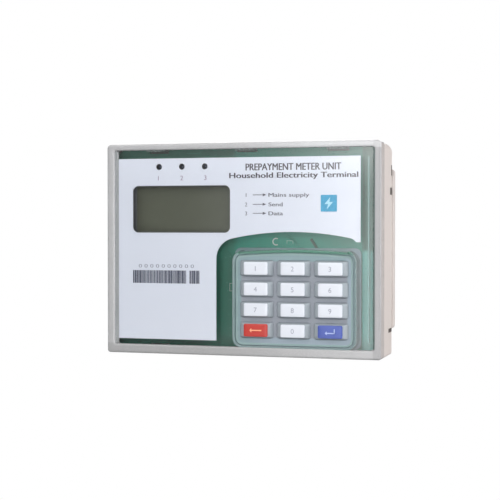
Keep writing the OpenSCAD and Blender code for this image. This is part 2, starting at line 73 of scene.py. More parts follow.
rim_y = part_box("front_cover")[0].y


# %% [markdown]
# ## Reading places from the frame
# A piece that fits another one takes its place from that node's box. The small class below turns a box in
# metres into plain edges in millimetres, and `at` turns a place on the drawing back into the scene's
# metres.

# %% Boxes and places in millimetres
class Edges:
    """The edges of a node's box: x0 to x1 across, z0 to z1 up, d0 to d1 from front to back."""

    def __init__(self, node):
        low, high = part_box(node)
        self.x0, self.x1 = low.x / MM, high.x / MM
        self.z0, self.z1 = low.z / MM, high.z / MM
        self.d0, self.d1 = (low.y - rim_y) / MM, (high.y - rim_y) / MM
        self.x, self.z = (self.x0 + self.x1) / 2, (self.z0 + self.z1) / 2


def at(x, depth, z):
    """A point of the drawing, in the scene's metres."""
    return Vector((x * MM, rim_y + depth * MM, z * MM))


case, cover = Edges("rear_base"), Edges("front_cover")
label, board, mat = Edges("label_panel"), Edges("main_pcb"), Edges("keypad_mat")
bezel, glass, lights = Edges("lcd_bezel"), Edges("lcd_glass"), Edges("status_leds")
print("cover", round(cover.x1 - cover.x0, 1), "by", round(cover.z1 - cover.z0, 1), "mm")

# %% [markdown]
# ## Shader sums as Python sums
# A surface is described by sums of masks and noises. Writing each one as a node by hand is slow to read,
# so one class wraps a socket and turns `+`, `-`, `*`, `/` and `**` into Math nodes, also when the number
# comes first. Any other node comes from `Finish.node`, which sets the node's own settings before its
# sockets.


# %% The socket wrapper
class Value:
    """An output of a node, ready for sums."""

    def __init__(self, finish, socket):
        self.finish = finish
        self.socket = socket

    def math(self, operation, first, second):
        return self.finish.node("Math", {"operation": operation}, {0: first, 1: second})

    def __add__(self, other):
        return self.math("ADD", self, other)

    def __sub__(self, other):
        return self.math("SUBTRACT", self, other)

    def __rsub__(self, other):
        return self.math("SUBTRACT", other, self)

    def __mul__(self, other):
        return self.math("MULTIPLY", self, other)

    def __truediv__(self, other):
        return self.math("DIVIDE", self, other)

    def __pow__(self, other):
        return self.math("POWER", self, other)

    __radd__ = __add__
    __rmul__ = __mul__


# %% The finish: one material and its nodes
class Finish:
    """A material with one Principled shader, and the few kinds of node that these finishes need."""

    def __init__(self, name):
        self.material = bpy.data.materials.new(name)
        self.material.use_nodes = True
        self.tree = self.material.node_tree
        self.tree.nodes.clear()
        self.out = self.tree.nodes.new("ShaderNodeOutputMaterial")
        self.shader = self.tree.nodes.new("ShaderNodeBsdfPrincipled")
        self.tree.links.new(self.shader.outputs[0], self.out.inputs[0])
        self.place = self.node("TexCoord", {}, {}, "Object")

    def feed(self, socket, given):
        """Links a Value, or sets a number or colour on the socket."""
        if isinstance(given, Value):
            self.tree.links.new(given.socket, socket)
        elif isinstance(given, tuple) and socket.type == "RGBA":
            socket.default_value = (*given, 1)
        else:
            socket.default_value = given

    def node(self, kind, settings, inputs, output=0):
        made = self.tree.nodes.new("ShaderNode" + kind)
        for name, setting in settings.items():
            setattr(made, name, setting)
        for name, given in inputs.items():
            self.feed(made.inputs[name], given)
        return Value(self, made.outputs[output])

    def set(self, **sockets):
        """Sets sockets of the Principled shader: Base_Color stands for Base Color."""
        for name, given in sockets.items():
            self.feed(self.shader.inputs[name.replace("_", " ")], given)
        return self

    def axis(self, letter):
        """The x, y or z of a point, in millimetres."""
        return self.node("SeparateXYZ", {}, {0: self.place}, "XYZ".index(letter)) * (1 / MM)

    def depth(self):
        """How far a point lies behind the front of the rim, in millimetres."""
        return self.axis("Y") - rim_y / MM

    def wave(self, given, half):
        """Rises from 0 to 1 over half a period, and falls again over the next half."""
        return self.node("Math", {"operation": "PINGPONG"}, {0: given, 1: half}) * (1 / half)

    def noise(self, size, detail=2.0, stretch=(1, 1, 1)):
        """Soft noise from 0 to 1 whose patches are about size millimetres wide."""
        where = self.node("VectorMath", {"operation": "MULTIPLY"}, {0: self.place, 1: stretch})
        return self.node("TexNoise", {}, {"Vector": where, "Scale": 1 / (size * MM), "Detail": detail}, "Fac")

    def step(self, given, low, high):
        """0 below low, 1 above high, and smooth between them."""
        kind = {"interpolation_type": "SMOOTHSTEP"}
        return self.node("MapRange", kind, {"Value": given, "From Min": low, "From Max": high})

    def mix(self, first, second, share):
        settings = {"data_type": "RGBA", "clamp_factor": True}
        return self.node("Mix", settings, {0: share, 6: first, 7: second}, 2)

    def bump(self, height, depth):
        """A Normal from a height of 0 to 1 that stands for depth millimetres."""
        sockets = {"Height": height, "Distance": depth * MM, "Strength": 1.0}
        return self.node("Bump", {}, sockets, "Normal")


# %% [markdown]
# ## Outlines, lofts and plates
# Nearly every piece here is a moulding: an outline that changes a little with depth. `loft` joins
# outlines of the same number of points into a skin, which gives draft, crowned tops and rounded edges. A
# flat piece with holes is easier as a filled 2D curve: the curve's bevel rounds the edges of the outline
# and of its holes alike.

# %% Outline helpers
def arc(x, z, radius, start, end, steps):
    """Points on an arc, from one angle to another in degrees."""
    turns = [math.radians(start + (end - start) * i / steps) for i in range(steps + 1)]
    return [(x + radius * math.cos(t), z + radius * math.sin(t)) for t in turns]


def rounded(x0, x1, z0, z1, radius, steps=5):
    """A rectangle with round corners. radius is one number, or one each from the top right, anticlockwise."""
    radii = radius if isinstance(radius, tuple) else (radius,) * 4
    spots = [(x1, z1, -1, -1), (x0, z1, 1, -1), (x0, z0, 1, 1), (x1, z0, -1, 1)]
    points = []
    for (x, z, inward_x, inward_z), r, quarter in zip(spots, radii, range(4)):
        r = max(r, 0.02)
        points += arc(x + inward_x * r, z + inward_z * r, r, quarter * 90, quarter * 90 + 90, steps)
    return points


def inset(edges, by, radius, steps=5):
    """The rounded outline of a box, by millimetres inside it."""
    x0, x1, z0, z1 = edges
    radii = radius if isinstance(radius, tuple) else (radius,) * 4
    return rounded(x0 + by, x1 - by, z0 + by, z1 - by, tuple(max(r - by, 0.02) for r in radii), steps)


# %% Mesh helpers
SHARP = math.radians(32)
made_pieces = {}


def shown(name, mesh, finish, body, stands_for=()):
    """Puts a mesh in the scene as a finished piece on its body."""
    piece = bpy.data.objects.new(name, mesh)
    bpy.context.scene.collection.objects.link(piece)
    mesh.materials.clear()
    mesh.materials.append(finish.material)
    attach(piece, body)
    if stands_for:
        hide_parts(*stands_for)
    even = piece.modifiers.new("flat_faces_stay_flat", "WEIGHTED_NORMAL")
    even.keep_sharp = True
    even.weight = 100
    made_pieces[name] = len(mesh.polygons)
    return piece


def to_mesh(name, bm, smooth=True):
    """A bmesh as a mesh with outward faces, smooth but for its real corners."""
    bmesh.ops.remove_doubles(bm, verts=bm.verts, dist=1e-7)
    bmesh.ops.recalc_face_normals(bm, faces=bm.faces)
    mesh = bpy.data.meshes.new(name)
    bm.to_mesh(mesh)
    bm.free()
    if smooth:
        mesh.shade_smooth()
        mesh.set_sharp_from_angle(angle=SHARP)
    return mesh


def loft(bm, rings, loop=False):
    """Skins a list of (outline, depth). A loop joins the last ring to the first, else the ends are closed."""
    rows = [[bm.verts.new(at(x, depth, z)) for x, z in outline] for outline, depth in rings]
    pairs = list(zip(rows, rows[1:]))
    if loop:
        pairs.append((rows[-1], rows[0]))
    for near, far in pairs:
        for i in range(len(near)):
            j = (i + 1) % len(near)
            bm.faces.new((near[i], near[j], far[j], far[i]))
    if not loop:
        bm.faces.new(rows[0])
        bm.faces.new(rows[-1])
    return rows


def lofted(name, *solids, loop=False):
    """A mesh of one or more lofts."""
    bm = bmesh.new()
    for rings in solids:
        loft(bm, rings, loop)
    return to_mesh(name, bm)


def plate(name, outlines, front, back, soft, steps=2):
    """A plate with holes from front to back, its edges rounded by soft millimetres."""
    curve = bpy.data.curves.new(name, "CURVE")
    curve.dimensions = "2D"
    curve.fill_mode = "BOTH"
    curve.extrude = (back - front) / 2 - soft
    curve.bevel_depth = soft
    curve.bevel_resolution = steps
    curve.offset = -soft
    for outline in outlines:
        line = curve.splines.new("POLY")
        line.points.add(len(outline) - 1)
        line.use_cyclic_u = True
        for point, (x, z) in zip(line.points, outline):
            point.co = (x, z, 0, 1)
    return flat_mesh(name, curve, (front + back) / 2)


def flat_mesh(name, curve, depth, fit=None, strikes=(0,)):
    """A flat curve or text as a mesh on the drawing, its z along the depth, struck once at each shift."""
    holder = bpy.data.objects.new(name, curve)
    bpy.context.scene.collection.objects.link(holder)
    graph = bpy.context.evaluated_depsgraph_get()
    flat = bpy.data.meshes.new_from_object(holder.evaluated_get(graph))
    bpy.data.objects.remove(holder)
    bm = bmesh.new()
    for turn, shift in enumerate(strikes):
        before = len(bm.verts)
        bm.from_mesh(flat)
        bm.verts.ensure_lookup_table()
        for v in bm.verts[before:]:
            x, z, forward = v.co
            if fit:
                x, z = fit(x, z)
            v.co = at(x + shift, depth - forward + turn * 0.004, z)
    return to_mesh(name, bm)


# %% [markdown]
# ## Softened copies of the plain mouldings
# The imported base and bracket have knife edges, because they only had to fit. A real moulding never does,
# and it is the rounded edge that catches the light. A Bevel modifier on a copy of the node gives that,
# and keeps its size.

# %% A softened copy of a CAD node
def softened(node, finish, width, angle=30, segments=2):
    """A copy of a node with its edges rounded by width millimetres, standing for the node."""
    source = frame["nodes"][node]
    bm = bmesh.new()
    bm.from_mesh(source.data)
    bmesh.ops.remove_doubles(bm, verts=bm.verts, dist=2e-6)
    bmesh.ops.dissolve_limit(bm, angle_limit=math.radians(2), verts=bm.verts, edges=bm.edges)
    name = node + "_moulding"
    piece = shown(name, to_mesh(name, bm), finish, source["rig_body"], [node])
    bevel = piece.modifiers.new("rounded_edges", "BEVEL")
    bevel.width = width * MM
    bevel.segments = segments
    bevel.limit_method = "ANGLE"
    bevel.angle_limit = math.radians(angle)
    bevel.harden_normals = True
    piece.modifiers.move(1, 0)
    return piece


# %% [markdown]
# ## Moulded plastic
# The case and the bracket are pale beige ABS. Their moulds are spark-eroded, so the skin has a fine even
# grain of about a quarter of a millimetre, with a slow drift of colour from the melt, faint rub marks and
# a little dust. Grain goes to the bump and the roughness, rub marks to the roughness alone, and the drift
# and the dust to the colour, the dust to the roughness as well.

# %% Plastics
def moulded(name, skin, rough=0.5, grain=0.28, grain_depth=0.012, drift=0.05, dirt=0.06):
    """Spark-grained plastic. skin is its colour."""
    finish = Finish(name)
    cloud = finish.noise(24, 3)
    pits = finish.noise(grain, 2)
    rubs = finish.step(finish.noise(3, 4, (1, 1, 0.08)), 0.62, 0.78)
    dust = finish.step(finish.noise(6, 5), 0.56, 0.8)
    warm = tuple(c * (1 - drift) for c in skin)
    soiled = tuple(c * (1 - 3 * dirt) for c in skin)
    tone = finish.mix(finish.mix(warm, skin, cloud), soiled, dust * dirt * 4)
    finish.set(Base_Color=tone, Roughness=rough + (pits - 0.5) * 0.18 - rubs * 0.08 + dust * 0.06)
    finish.set(Normal=finish.bump(pits * 0.7 + finish.noise(grain * 3, 1) * 0.3, grain_depth), IOR=1.5)
    return finish


case_finish = moulded("case_plastic", (0.74, 0.675, 0.645))
bracket_finish = moulded("bracket_plastic", (0.72, 0.665, 0.64), grain=0.35)
dark_finish = moulded("dark_plastic", (0.022, 0.023, 0.026), rough=0.42, dirt=0.02)
terminal_finish = moulded("terminal_plastic", (0.055, 0.22, 0.12), rough=0.4, grain=0.2)
sleeve_finish = moulded("sleeve_plastic", (0.03, 0.035, 0.09), rough=0.3, grain=0.5, grain_depth=0.004)
seal_finish = moulded("seal_rubber", (0.16, 0.165, 0.17), rough=0.75, grain=0.12)
diffuser_finish = moulded("diffuser", (0.78, 0.8, 0.8), rough=0.5, grain=0.15, grain_depth=0.006)
epoxy_finish = moulded("chip_epoxy", (0.018, 0.018, 0.02), rough=0.55, grain=0.1, grain_depth=0.006)
ceramic_finish = moulded("chip_ceramic", (0.42, 0.3, 0.2), rough=0.5, grain=0.1, grain_depth=0.005)
print("plastics:", len(bpy.data.materials))

# %% [markdown]
# ## The case and the bracket
# The case is a deep tray with rounded upper corners. The bracket behind it stands less than a millimetre
# proud at the sides, which shows as a thin step. Both take the softened copy, the case with a slightly
# larger rounding.

# %% Case and bracket
softened("rear_base", case_finish, 0.35)
softened("wall_bracket", bracket_finish, 0.3)
softened("terminal_block", terminal_finish, 0.15)

# %% [markdown]
# Three small notches stand in each side of the case, towards its back. What they serve is a guess: a
# blade could free the hidden hooks there. They are shallow, so each gets a low dark block that nearly
# fills it: painted shade, standing for the dark inside of a deeper slot.

# %% Side slots
slot_spots = [(41.0, 5.4, 28.1), (30.0, 3.6, 24.6), (-42.0, 1.8, 21.4)]
slot_deep, slot_proud, slot_back = 0.7, 0.03, case.d1 - 0.05


def side_slots():
    """Low dark blocks of painted shade in both sides of the case. A spot is a middle height, a height and a
    front depth.
    """
    solids = []
    for side in (-1, 1):
        inner, outer = side * (case.x1 - slot_deep), side * (case.x1 + slot_proud)
        for middle, tall, front in slot_spots:
            low, high = middle - tall / 2, middle + tall / 2
            outline = [(inner, low), (outer, low), (outer, high), (inner, high)]
            solids.append([(outline, front), (outline, slot_back)])
    return solids


slot_finish = moulded("slot_shadow", (0.10, 0.085, 0.08), rough=0.7, grain=0.2, dirt=0.03)
shown("case_side_slot_shades", lofted("case_side_slot_shades", *side_slots()), slot_finish, "case")

# %% [markdown]
# ## Clear plastic
# The cover is one clear moulding. Its flat pane is polished, so it only shows as a mirror of the studio:
# a Fresnel mix of a see-through shader and a glossy one. Its rim is thick, and light that wanders inside
# thick clear plastic comes out grey, so the rim is an opaque pale grey body. Light and shade are painted
# into that grey: its top is painted lighter towards the right as a painted highlight, its bottom towards
# the left and its right side are painted darker as painted shade, and a dark seam of painted shade runs
# along its right inner edge. Its tones were chosen to look right in this studio's light, and are not
# measured. The collar, rib and clips stay partly see-through.

# %% Clear finishes
def clear(name, tint):
    """Polished clear plastic: see-through, with the mirror of both its faces put on the front one."""
    finish = Finish(name)
    smears = finish.noise(11, 4, (1, 1, 0.5))
    scratches = finish.step(finish.noise(1.2, 2, (1, 1, 0.04)), 0.7, 0.8)
    finish.set(Base_Color=finish.mix((0.95, 0.95, 0.95), (1.0, 1.0, 1.0), smears), Metallic=1.0)
    finish.set(Roughness=smears * 0.06 + scratches * 0.1 + 0.02)
    through = finish.tree.nodes.new("ShaderNodeBsdfTransparent")
    through.inputs[0].default_value = (*tint, 1)
    blend = finish.tree.nodes.new("ShaderNodeMixShader")
    facing = 1 - finish.node("NewGeometry", {}, {}, "Backfacing")
    finish.feed(blend.inputs[0], finish.node("Fresnel", {}, {"IOR": 1.49}) * 2 * facing)
    finish.tree.links.new(through.outputs[0], blend.inputs[1])
    finish.tree.links.new(finish.shader.outputs[0], blend.inputs[2])
    finish.tree.links.new(blend.outputs[0], finish.out.inputs[0])
    return finish


def hazy(name, tone, cover, rough=0.2, uneven=0.35, front=0.0, upper=None):
    """Clear plastic seen through its thickness: pale, streaked along its length and partly see-through."""
    finish = Finish(name)
    streaks = finish.noise(1.3, 3, (1, 1, 0.06))
    cloud = finish.noise(6, 3)
    dim = tuple(c * 0.7 for c in tone)
    tone = finish.mix(dim, tone, streaks * 0.6 + cloud * 0.4)
    if upper:
        tone = finish.mix(tone, upper, finish.step(finish.axis("Z"), mat.z1 - 4, mat.z1 - 2))
    finish.set(Base_Color=tone, IOR=1.49)
    cover = cover + (streaks - 0.5) * uneven
    if front:
        cover = cover + (1 - finish.step(finish.depth(), front, front + 1.2)) * 0.55
    finish.set(Roughness=rough + cloud * 0.1, Alpha=cover)
    finish.set(Normal=finish.bump(streaks, 0.003))
    return finish


# %% Pane, rim, collar and clips
rim_side = 4.1
rim_top = 3.2
rim_low = 4.7
pane_front = 0.6
pane_back = 2.45
opening = (cover.x0 + rim_side, cover.x1 - rim_side, cover.z0 + rim_low, cover.z1 - rim_top)
outer = (cover.x0, cover.x1, cover.z0, cover.z1)
outer_radii = (2.3, 2.3, 1.5, 1.5)
keypad_gap = 0.35
collar_gap = 0.12
collar_wall = 1.4
mat_radius = 4.0
mat_rise = 1.3
body_side = 2.4
body_low = 1.4


# %% [markdown]
# The keypad's outline has round corners and a top that rises a little to its middle. The mat, the opening
# in the cover and the clear collar round it all use the same outline at different distances, so it is one
# function.

# %% The keypad's outline
key_body = (mat.x0 + body_side, mat.x1 - body_side, mat.z0 + body_low, mat.z1 - body_side)


def keypad_outline(out, steps=10):
    """The keypad's body outline, moved outwards by out millimetres."""
    x0, x1, z0, z1 = key_body
    x0, x1, z0, z1 = x0 - out, x1 + out, z0 - out, z1 + out
    r = mat_radius + out
    half = (x1 - x0) / 2 - r * 0.6
    crown = (half * half + mat_rise * mat_rise) / (2 * mat_rise)
    middle = (x0 + x1) / 2
    lean = math.degrees(math.asin(half / crown))
    top = arc(middle, z1 - crown, crown, 90 - lean, 90 + lean, steps)
    shoulder = z1 - mat_rise - r * 0.85
    right = arc(x1 - r, shoulder, r, 0, 90 - lean - 8, 6)
    left = arc(x0 + r, shoulder, r, 90 + lean + 8, 180, 6)
    low_left = arc(x0 + r, z0 + r, r, 180, 270, 6)
    low_right = arc(x1 - r, z0 + r, r, 270, 360, 6)
    return right + top + left + low_left + low_right


print("keypad outline:", len(keypad_outline(0)), "points")


# %% The rim
def frosted():
    """Thick clear plastic over the beige case: grey in front, warm at its outer sides. Painted highlight
    lightens its top towards the right, and painted shade darkens its bottom towards the left, its right side
    and a seam at its right inner edge.
    """
    finish = Finish("frosted_rim")
    cloud = finish.noise(9, 3)
    pits = finish.noise(0.5, 2)
    x, z = finish.axis("X"), finish.axis("Z")
    grey = finish.mix((0.48, 0.482, 0.495), (0.53, 0.528, 0.535), cloud)
    light_to_right = finish.step(x, -10, 45)
    upper, lower = finish.step(z, opening[3] - 1, opening[3]), 1 - finish.step(z, opening[2], opening[2] + 1)
    right_edge = finish.step(x, opening[1] - 0.3, opening[1] + 0.3)
    # painted highlight: the top of the rim is painted lighter towards the right
    grey = finish.mix(grey, (0.66, 0.665, 0.68), upper * light_to_right * (1 - right_edge * 0.6))
    # painted shade: the bottom of the rim is painted darker towards the left
    grey = finish.mix(grey, (0.42, 0.42, 0.425), lower * (1 - light_to_right * 0.8))
    # painted shade: the right side of the rim is painted darker
    grey = finish.mix(grey, (0.385, 0.38, 0.39), right_edge * (1 - upper) * 0.85)
    # painted shade: a dark line where the pane meets the rim at its right inner edge
    seam = right_edge * (1 - finish.step(x, opening[1] + 0.7, opening[1] + 1.1)) * (1 - upper) * (1 - lower)
    grey = finish.mix(grey, (0.13, 0.18, 0.17), seam * 0.9)
    across = finish.node("Math", {"operation": "ABSOLUTE"}, {0: x})
    side = finish.step(across, cover.x1 - 0.4, cover.x1 - 0.05)
    warm = finish.mix((0.62, 0.57, 0.555), (0.68, 0.625, 0.605), cloud)
    finish.set(Base_Color=finish.mix(grey, warm, side * finish.step(finish.depth(), 0.4, 1.4)), IOR=1.49)
    finish.set(Roughness=0.2 + pits * 0.1 + cloud * 0.05, Coat_Weight=0.4, Coat_Roughness=0.06)
    finish.set(Normal=finish.bump(pits * 0.3 + cloud * 0.7, 0.008))
    return finish


rim_finish = frosted()
edge = 0.5
skirt = 8.5
wall = 2.0


def rim_ring(by, depth):
    """An outline of the rim, by millimetres inside the outer edge."""
    return (inset(outer, by, outer_radii, 8), depth)


def hole_ring(by, depth, ledge=0.0):
    """An outline of the rim's opening, by millimetres outside it, with a ledge along its left side."""
    x0, x1, z0, z1 = opening
    return (rounded(x0 - by + ledge, x1 + by, z0 - by, z1 + by, 1.0 + by, 8), depth)


label_ledge = label.x0 - opening[0] - 0.12
rim_profile = [
    rim_ring(0.0, skirt), rim_ring(0.0, edge * 2.2), rim_ring(edge * 0.25, edge),
    rim_ring(edge * 0.8, edge * 0.4), rim_ring(edge * 1.8, 0.06), rim_ring(edge * 3, 0.0),
    hole_ring(1.0, 0.0), hole_ring(0.5, 0.1),
    hole_ring(0.15, 0.32), hole_ring(0.0, 0.62), hole_ring(0.0, 2.46),
    hole_ring(0.0, 2.5, label_ledge), hole_ring(0.0, 3.4, label_ledge), hole_ring(1.2, 3.9),
    rim_ring(wall, 4.4), rim_ring(wall, skirt),
]
rim_mesh = lofted("cover_rim", rim_profile, loop=True)
shown("cover_rim", rim_mesh, rim_finish, "case", ["front_cover"])

# %% The pane, the collar and the snap clips
pane_finish = clear("clear_pane", (0.975, 0.985, 0.985))
collar_finish = hazy("clear_collar", (0.31, 0.42, 0.43), 0.22, 0.3, 0.08, 0.8, (0.12, 0.31, 0.23))
x0, x1, z0, z1 = opening
pane_outline = rounded(x0 + 0.02, x1 - 0.02, z0 + 0.02, z1 - 0.02, 1.0, 8)
pane_mesh = plate("cover_pane", [pane_outline, keypad_outline(keypad_gap + 0.05)], pane_front, pane_back, 0.1)
shown("cover_pane", pane_mesh, pane_finish, "case")

collar_front, collar_back = 0.45, 8.6
collar_rings = [
    (keypad_outline(collar_gap), collar_front + 0.3), (keypad_outline(keypad_gap + 0.3), collar_front),
    (keypad_outline(keypad_gap + 0.9), collar_front), (keypad_outline(keypad_gap + 1.2), collar_front + 0.25),
    (keypad_outline(keypad_gap + collar_wall), 2.4), (keypad_outline(keypad_gap + collar_wall), collar_back),
    (keypad_outline(collar_gap), collar_back),
]
shown("cover_collar", lofted("cover_collar", collar_rings, loop=True), collar_finish, "case")

# %% [markdown]
# A thin rib runs down inside the cover, to the right of the label. It is a guess that explains a pale
# line there, and on a real cover it would stiffen the pane.

# %% The rib
rib_x, rib_wall, rib_end = 66.6, 0.7, 47.0
rib_box = (rib_x - rib_wall / 2, rib_x + rib_wall / 2, -rib_end, rib_end)
rib_rings = [(inset(rib_box, 0.0, 0.3, 3), pane_back + 0.05), (inset(rib_box, 0.0, 0.3, 3), 6.0),
             (inset(rib_box, 0.12, 0.3, 3), 6.3)]
rib_finish = hazy("clear_rib", (0.38, 0.70, 0.67), 0.5, 0.2, 0.12)
shown("cover_rib", lofted("cover_rib", rib_rings), rib_finish, "case")

# %% [markdown]
# Six snap clips hang from the rim, three above and three below. Their roots show as small grey blocks at
# the inner edge of the rim.

# %% Clips
clip_width = 10
clip_pitch = 48.6
clip_wall = 1.3
clip_middle = 1.0
clip_reach = 52.3
clip_root, clip_taper, clip_end = 3.5, 11.0, 14.0
clip_solids = []
for side in (-1, 1):
    for i in (-1, 0, 1):
        middle = clip_middle + i * clip_pitch
        far = side * clip_reach
        near = far - side * clip_wall
        low, high = min(near, far), max(near, far)
        box = (middle - clip_width / 2, middle + clip_width / 2, low, high)
        clip_solids.append([
            (inset(box, 0.0, 0.3, 2), clip_root), (inset(box, 0.0, 0.3, 2), clip_taper),
            (inset(box, 0.25, 0.3, 2), clip_end),
        ])
clip_finish = hazy("clear_clips", (0.45, 0.56, 0.54), 0.45, 0.2, 0.12)
shown("cover_clips", lofted("cover_clips", *clip_solids), clip_finish, "case")
print("cover pieces:", [n for n in made_pieces if n.startswith("cover")])

# %% [markdown]
# ## The printed label
# A polyester film, printed white on its back. It is flat and satin, and the white is a little blue. The
# node's own shape is right, with its holes and its arch, so it stays and only gets its finish: a faint
# fibre of the print, a few handling marks, and a slow change of tone across the sheet.

# %% Label film
def film():
    finish = Finish("label_film")
    cloud = finish.noise(40, 2)
    tooth = finish.noise(0.35, 3)
    tone = finish.mix((0.825, 0.84, 0.945), (0.855, 0.865, 0.955), cloud)
    speck = finish.step(finish.noise(0.9, 3), 0.72, 0.8)
    finish.set(Base_Color=finish.mix(tone, (0.74, 0.75, 0.82), speck * 0.25), IOR=1.45)
    finish.set(Roughness=0.38 + tooth * 0.12 + cloud * 0.05, Normal=finish.bump(tooth, 0.004))
    return finish


label_finish = film()


def dress(node, finish):
    """Gives a CAD node a finish and leaves its shape alone."""
    mesh = frame["nodes"][node].data
    mesh.materials.clear()
    mesh.materials.append(finish.material)


dress("label_panel", label_finish)

# %% [markdown]
# ## Printing
# Printed words are thin raised shapes just in front of the film, so they stay sharp at any distance. The
# words are generic ones. Each line is fitted to a width and a letter height. The built-in font has one
# weight, so bold is made as a printer would, by striking the words twice with a small shift.


# %% Ink and words
def ink(name, tone, rough=0.5):
    """Screen-printed ink: even, with slightly thin patches."""
    finish = Finish(name)
    patches = finish.noise(0.8, 3)
    light = tuple(min(1.0, c * 1.25 + 0.01) for c in tone)
    finish.set(Base_Color=finish.mix(tone, light, finish.step(patches, 0.5, 0.8)))
    finish.set(Roughness=rough + patches * 0.15, Normal=finish.bump(finish.noise(0.3, 2), 0.004))
    return finish


INK = 0.05
capital = 0.729
ink_depth = label.d0 - 0.045


def words(name, text, x0, x1, base, height, finish, bold=0.0, depth=None, body="case"):
    """A line of words on a base line, capitals height tall, from x0 to x1, or centred on x0 without an x1."""
    line = bpy.data.curves.new(name, "FONT")
    line.body = text
    line.size = 1
    line.extrude = INK / 2
    line.resolution_u = 3
    holder = bpy.data.objects.new(name, line)
    bpy.context.scene.collection.objects.link(holder)
    bpy.context.view_layer.update()
    left, wide = holder.bound_box[0][0], holder.bound_box[4][0] - holder.bound_box[0][0]
    bpy.data.objects.remove(holder)
    up = height / capital
    across = up if x1 is None else (x1 - x0) / wide
    start = x0 - wide * up / 2 if x1 is None else x0
    where = ink_depth if depth is None else depth
    strikes = (-bold, bold) if bold else (0,)
    mesh = flat_mesh(name, line, where, lambda x, z: (start + (x - left) * across, base + z * up), strikes)
    return shown(name, mesh, finish, body)


def layer(outline):
    """The rings of a flat printed shape on the label."""
    return [(outline, ink_depth - INK / 2), (outline, ink_depth + INK / 2)]


dark_ink = ink("dark_ink", (0.05, 0.035, 0.055))
grey_ink = ink("grey_ink", (0.12, 0.11, 0.15))
pink_ink = ink("pink_ink", (0.32, 0.22, 0.33))
words("print_title", "PREPAYMENT METER UNIT", x0=2.4, x1=52.5, base=40.6, height=3.7,
      finish=dark_ink, bold=0.11)
words("print_subtitle", "Household Electricity Terminal", x0=-6.4, x1=61.2, base=36.7, height=2.9,
      finish=dark_ink, bold=0.13)

# %% [markdown]
# The legend explains the three lights: a number, an arrow and a word on each row. The arrows are one
# outline each, a shaft and a head.

# %% Legend rows and arrows
# each row: its number, its word, where the word ends, and the height of the row's middle
legend = [("1", "Mains supply", 36.0, 28.0), ("2", "Send", 22.0, 23.15), ("3", "Data", 22.2, 18.55)]
letter = 2.05
number_x, arrow_x, word_x = 2.6, 6.2, 14.6
shaft, head, tip = 0.16, 0.75, 13.4
barb = tip - 1.9
arrow_solids = []
for number, meaning, right, middle in legend:
    base = middle - letter / 2
    words("print_row_" + number, number, number_x, None, base, letter, grey_ink)
    words("print_word_" + number, meaning, word_x, right, base, letter, grey_ink, 0.05)
    outline = [(arrow_x, middle - shaft), (barb, middle - shaft), (barb, middle - head), (tip, middle),
               (barb, middle + head), (barb, middle + shaft), (arrow_x, middle + shaft)]
    arrow_solids.append(layer(outline))
shown("print_arrows", lofted("print_arrows", *arrow_solids), grey_ink, "case")

light_r = 1.5
light_xs = [lights.x0 + light_r, lights.x, lights.x1 - light_r]
for number, x in zip("123", light_xs):
    words("print_light_" + number, number, x, None, base=35.9, height=2.5, finish=pink_ink)

# %% [markdown]
# The bar code is a run of bars of seeded random widths, so that it carries no data, with a row of noughts
# above it.

# %% Bar code and badge
bar_left, bar_right, bar_low, bar_high = -59.8, -22.6, -18.1, -11.3
bar_break = (-30.0, -28.6)
dice = random.Random(11)
bar_solids = []
x = bar_left
while x < bar_right:
    wide = dice.choice((0.25, 0.36, 0.5, 0.7))
    gap = dice.choice((0.14, 0.2, 0.28))
    if not bar_break[0] < x < bar_break[1]:
        outline = rounded(x, min(x + wide, bar_right), bar_low, bar_high, 0.02, 1)
        bar_solids.append(layer(outline))
    x += wide + gap
bar_ink = ink("bar_ink", (0.07, 0.075, 0.12))
shown("print_bars", lofted("print_bars", *bar_solids), bar_ink, "case")
pale_ink = ink("pale_ink", (0.3, 0.3, 0.38))
words("print_noughts", "0 0 0 0 0 0 0 0 0 0", x0=-56.6, x1=-25.8, base=-9.9, height=1.9, finish=pale_ink)

badge = (42.0, 50.4, 19.3, 27.8)
badge_rings = [(inset(badge, 0.0, 0.4, 3), ink_depth), (inset(badge, 0.0, 0.4, 3), ink_depth + INK / 2)]
badge_ink = ink("badge_ink", (0.004, 0.36, 0.62))
shown("print_badge", lofted("print_badge", badge_rings), badge_ink, "case")
bolt = [(46.9, 26.6), (43.9, 23.1), (45.8, 23.1), (45.1, 20.4), (48.4, 24.2), (46.5, 24.2)]
bolt_rings = [(bolt, ink_depth - INK / 2), (bolt, ink_depth)]
bolt_ink = ink("bolt_ink", (0.45, 0.78, 0.95))
shown("print_bolt", lofted("print_bolt", bolt_rings), bolt_ink, "case")
print("printed pieces:", len([n for n in made_pieces if n.startswith("print")]))

# %% [markdown]
# ## The display and the lights
# The display is a sheet of glass in a dark frame. Switched off it is olive grey, with the faint pattern
# of its pixels, and it is painted lighter towards its right as painted light. The three lights are small
# clear domes that look nearly black when they are off.


# %% Display, backlight and lights
def display():
    finish = Finish("display_glass")
    x, z = finish.axis("X"), finish.axis("Z")
    rows = finish.wave(z, 0.35)
    columns = finish.wave(x, 0.3)
    dots = finish.step(rows, 0.15, 0.35) * finish.step(columns, 0.15, 0.35)
    cloud = finish.noise(30, 1)
    base = finish.mix((0.106, 0.11, 0.079), (0.115, 0.119, 0.086), cloud)
    # painted light: the glass is painted lighter from its middle to its right edge
    base = finish.mix(base, (0.142, 0.146, 0.112), finish.step(x, glass.x, glass.x1) * 0.8)
    finish.set(Base_Color=finish.mix(base, (0.095, 0.099, 0.071), dots * 0.35), IOR=1.5)
    finish.set(Roughness=0.4 + finish.noise(5, 1) * 0.05)
    return finish


def lens():
    finish = Finish("light_lens")
    depth = finish.noise(0.7, 2)
    finish.set(Base_Color=finish.mix((0.02, 0.025, 0.045), (0.05, 0.06, 0.1), depth), IOR=1.5)
    finish.set(Roughness=0.12 + depth * 0.1, Coat_Weight=0.6, Coat_Roughness=0.05)
    return finish


